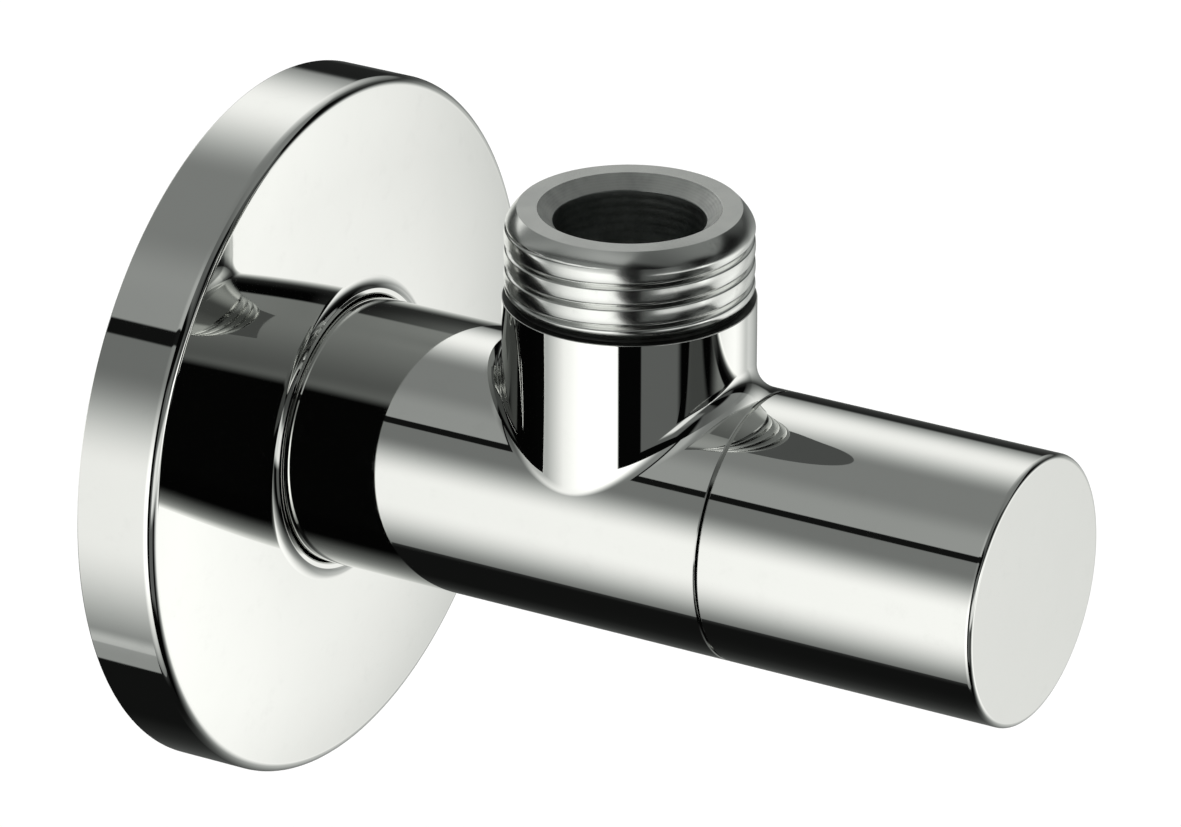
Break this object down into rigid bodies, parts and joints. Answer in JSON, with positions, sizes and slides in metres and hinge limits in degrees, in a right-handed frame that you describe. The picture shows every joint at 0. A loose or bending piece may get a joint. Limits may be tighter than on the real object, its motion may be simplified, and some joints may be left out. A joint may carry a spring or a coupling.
{
  "type": "angle stop valve",
  "caption": "Chromed angle stop valve with a wall inlet thread, an upward threaded outlet, a push-on wall rosette and an in-line multi-turn handle.",
  "frame": {"origin": "where the inlet axis meets the finished wall", "axes": "+Y along the inlet axis into the wall, so the valve stands out along -Y; +Z along the outlet axis, up; +X to the right, seen from the handle"},
  "size_m": [0.061, 0.0857, 0.061],
  "materials": {
    "body_chrome": "polished",
    "handle_chrome": "polished",
    "rosette_chrome": "polished",
    "brass": "machined",
    "steel": "satin",
    "rubber": "matte",
    "ptfe": "waxy white",
    "plastic": "moulded, natural acetal",
    "hub_plastic": "moulded, dark"
  },
  "bodies": {
    "valve": {"valve_body": "body_chrome", "inlet_seal_ring": "ptfe", "bonnet": "brass", "bonnet_o_ring": "rubber", "glide_ring": "plastic"},
    "handle": {"handle_shell": "handle_chrome", "handle_insert": "plastic", "snap_ring": "steel", "spindle": "brass", "spindle_o_rings": "rubber", "slip_washer": "ptfe", "circlip": "steel"},
    "piston": {"piston": "brass", "piston_o_ring": "rubber", "seat_washer": "rubber", "washer_plate": "steel", "washer_screw": "steel"},
    "rosette": {"rosette": "rosette_chrome", "rosette_hub": "hub_plastic", "rosette_grip_ring": "rubber"}
  },
  "joints": [
    {"name": "handle_turn", "type": "hinge", "parent": "valve", "child": "handle", "pos_m": [0, -0.06, 0], "axis": [0, -1, 0], "range_deg": [0, 1080]},
    {"name": "piston_lift", "type": "slide", "parent": "valve", "child": "piston", "axis": [0, -1, 0], "range_m": [0, 0.00451]},
    {"name": "rosette_slide", "type": "slide", "parent": "valve", "child": "rosette", "axis": [0, -1, 0], "range_m": [0, 0.014]}
  ],
  "couplings": [
    {"joint": "piston_lift", "follows": "handle_turn", "m_per_rad": 0.00023873}
  ]
}
